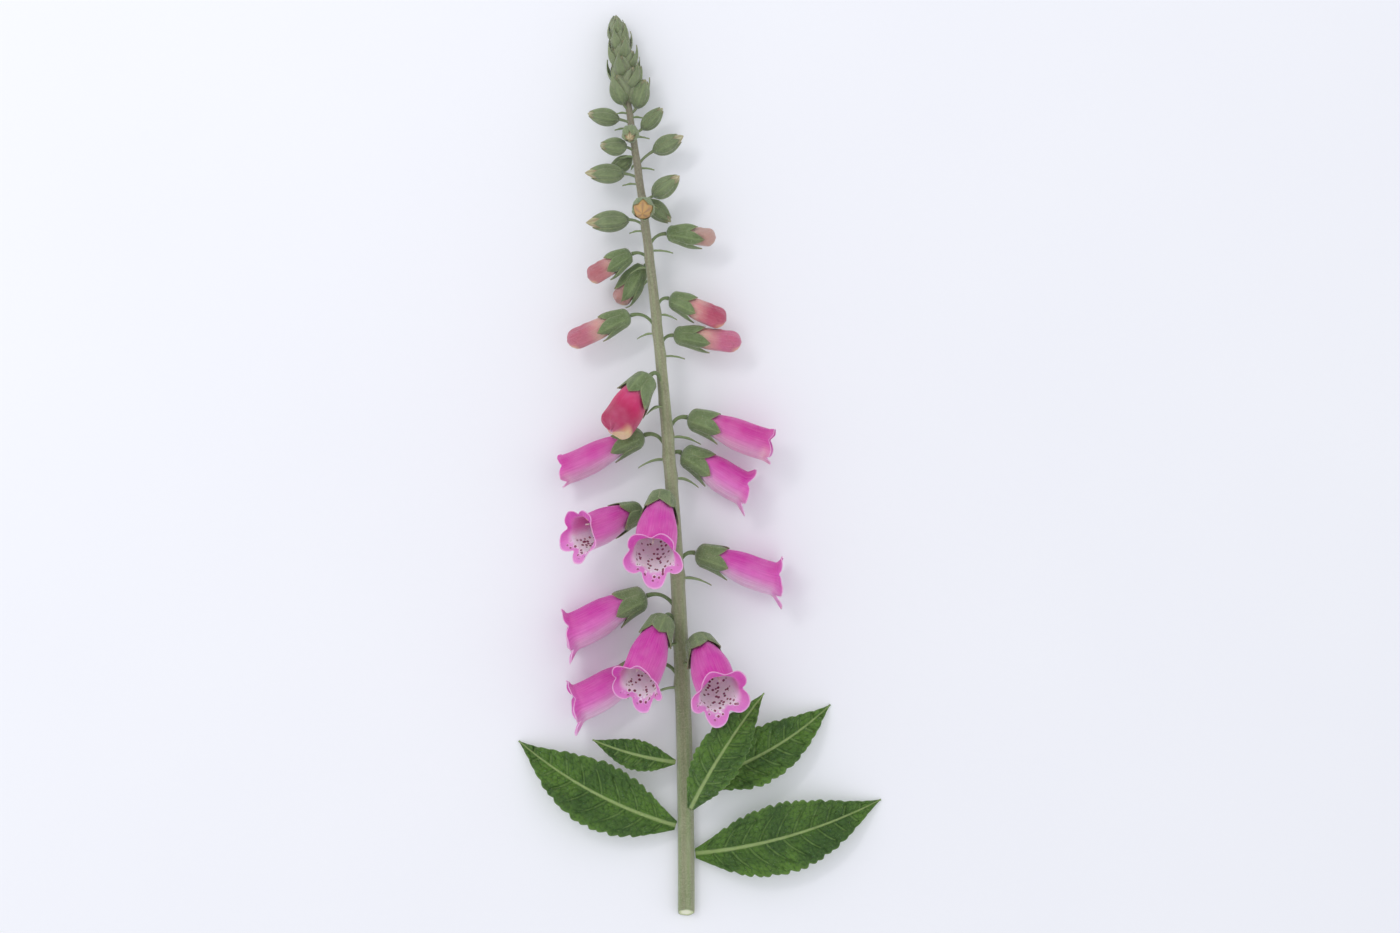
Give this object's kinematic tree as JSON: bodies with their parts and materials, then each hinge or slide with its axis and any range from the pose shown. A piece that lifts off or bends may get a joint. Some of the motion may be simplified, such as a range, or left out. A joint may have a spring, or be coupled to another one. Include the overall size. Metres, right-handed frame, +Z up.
{
  "type": "foxglove flower spike",
  "caption": "Cut foxglove spike lying down: leafy stem with open spotted magenta bells, coloured buds and a tapering head of shut green buds.",
  "frame": {"origin": "centre of the flat spot under the stem, on the surface, just above the cut end", "axes": "+Y up the stem to the tip, +X to the spike's right side seen from above, +Z up from the surface"},
  "size_m": [0.1938, 0.481, 0.0658],
  "materials": {
    "green_tissue": "soft green stem, sepals and shut buds with fine hairs",
    "petal": "thin satin magenta petal, paler and spotted dark red inside the mouth",
    "bud_petal": "satin coral-rose petal of the unopened buds",
    "stamen": "matte cream filaments and anthers",
    "leaf_green": "matte deep green leaf with raised veins, paler below"
  },
  "bodies": {
    "root": {"spike": "green_tissue", "bell_1": "petal", "bell_2": "petal", "bell_3": "petal", "bell_4": "petal", "bell_5": "petal", "bell_6": "petal", "bell_7": "petal", "bell_8": "petal", "bell_9": "petal", "bell_10": "petal", "bell_11": "petal", "stamens_1": "stamen", "stamens_2": "stamen", "stamens_3": "stamen", "stamens_4": "stamen", "stamens_5": "stamen", "stamens_6": "stamen", "stamens_7": "stamen", "stamens_8": "stamen", "stamens_9": "stamen", "stamens_10": "stamen", "stamens_11": "stamen", "bud_1": "bud_petal", "bud_2": "bud_petal", "bud_3": "bud_petal", "bud_4": "bud_petal", "bud_5": "bud_petal", "bud_6": "bud_petal", "leaf_1": "leaf_green", "leaf_2": "leaf_green", "leaf_3": "leaf_green", "leaf_4": "leaf_green", "leaf_5": "leaf_green"}
  },
  "joints": []
}
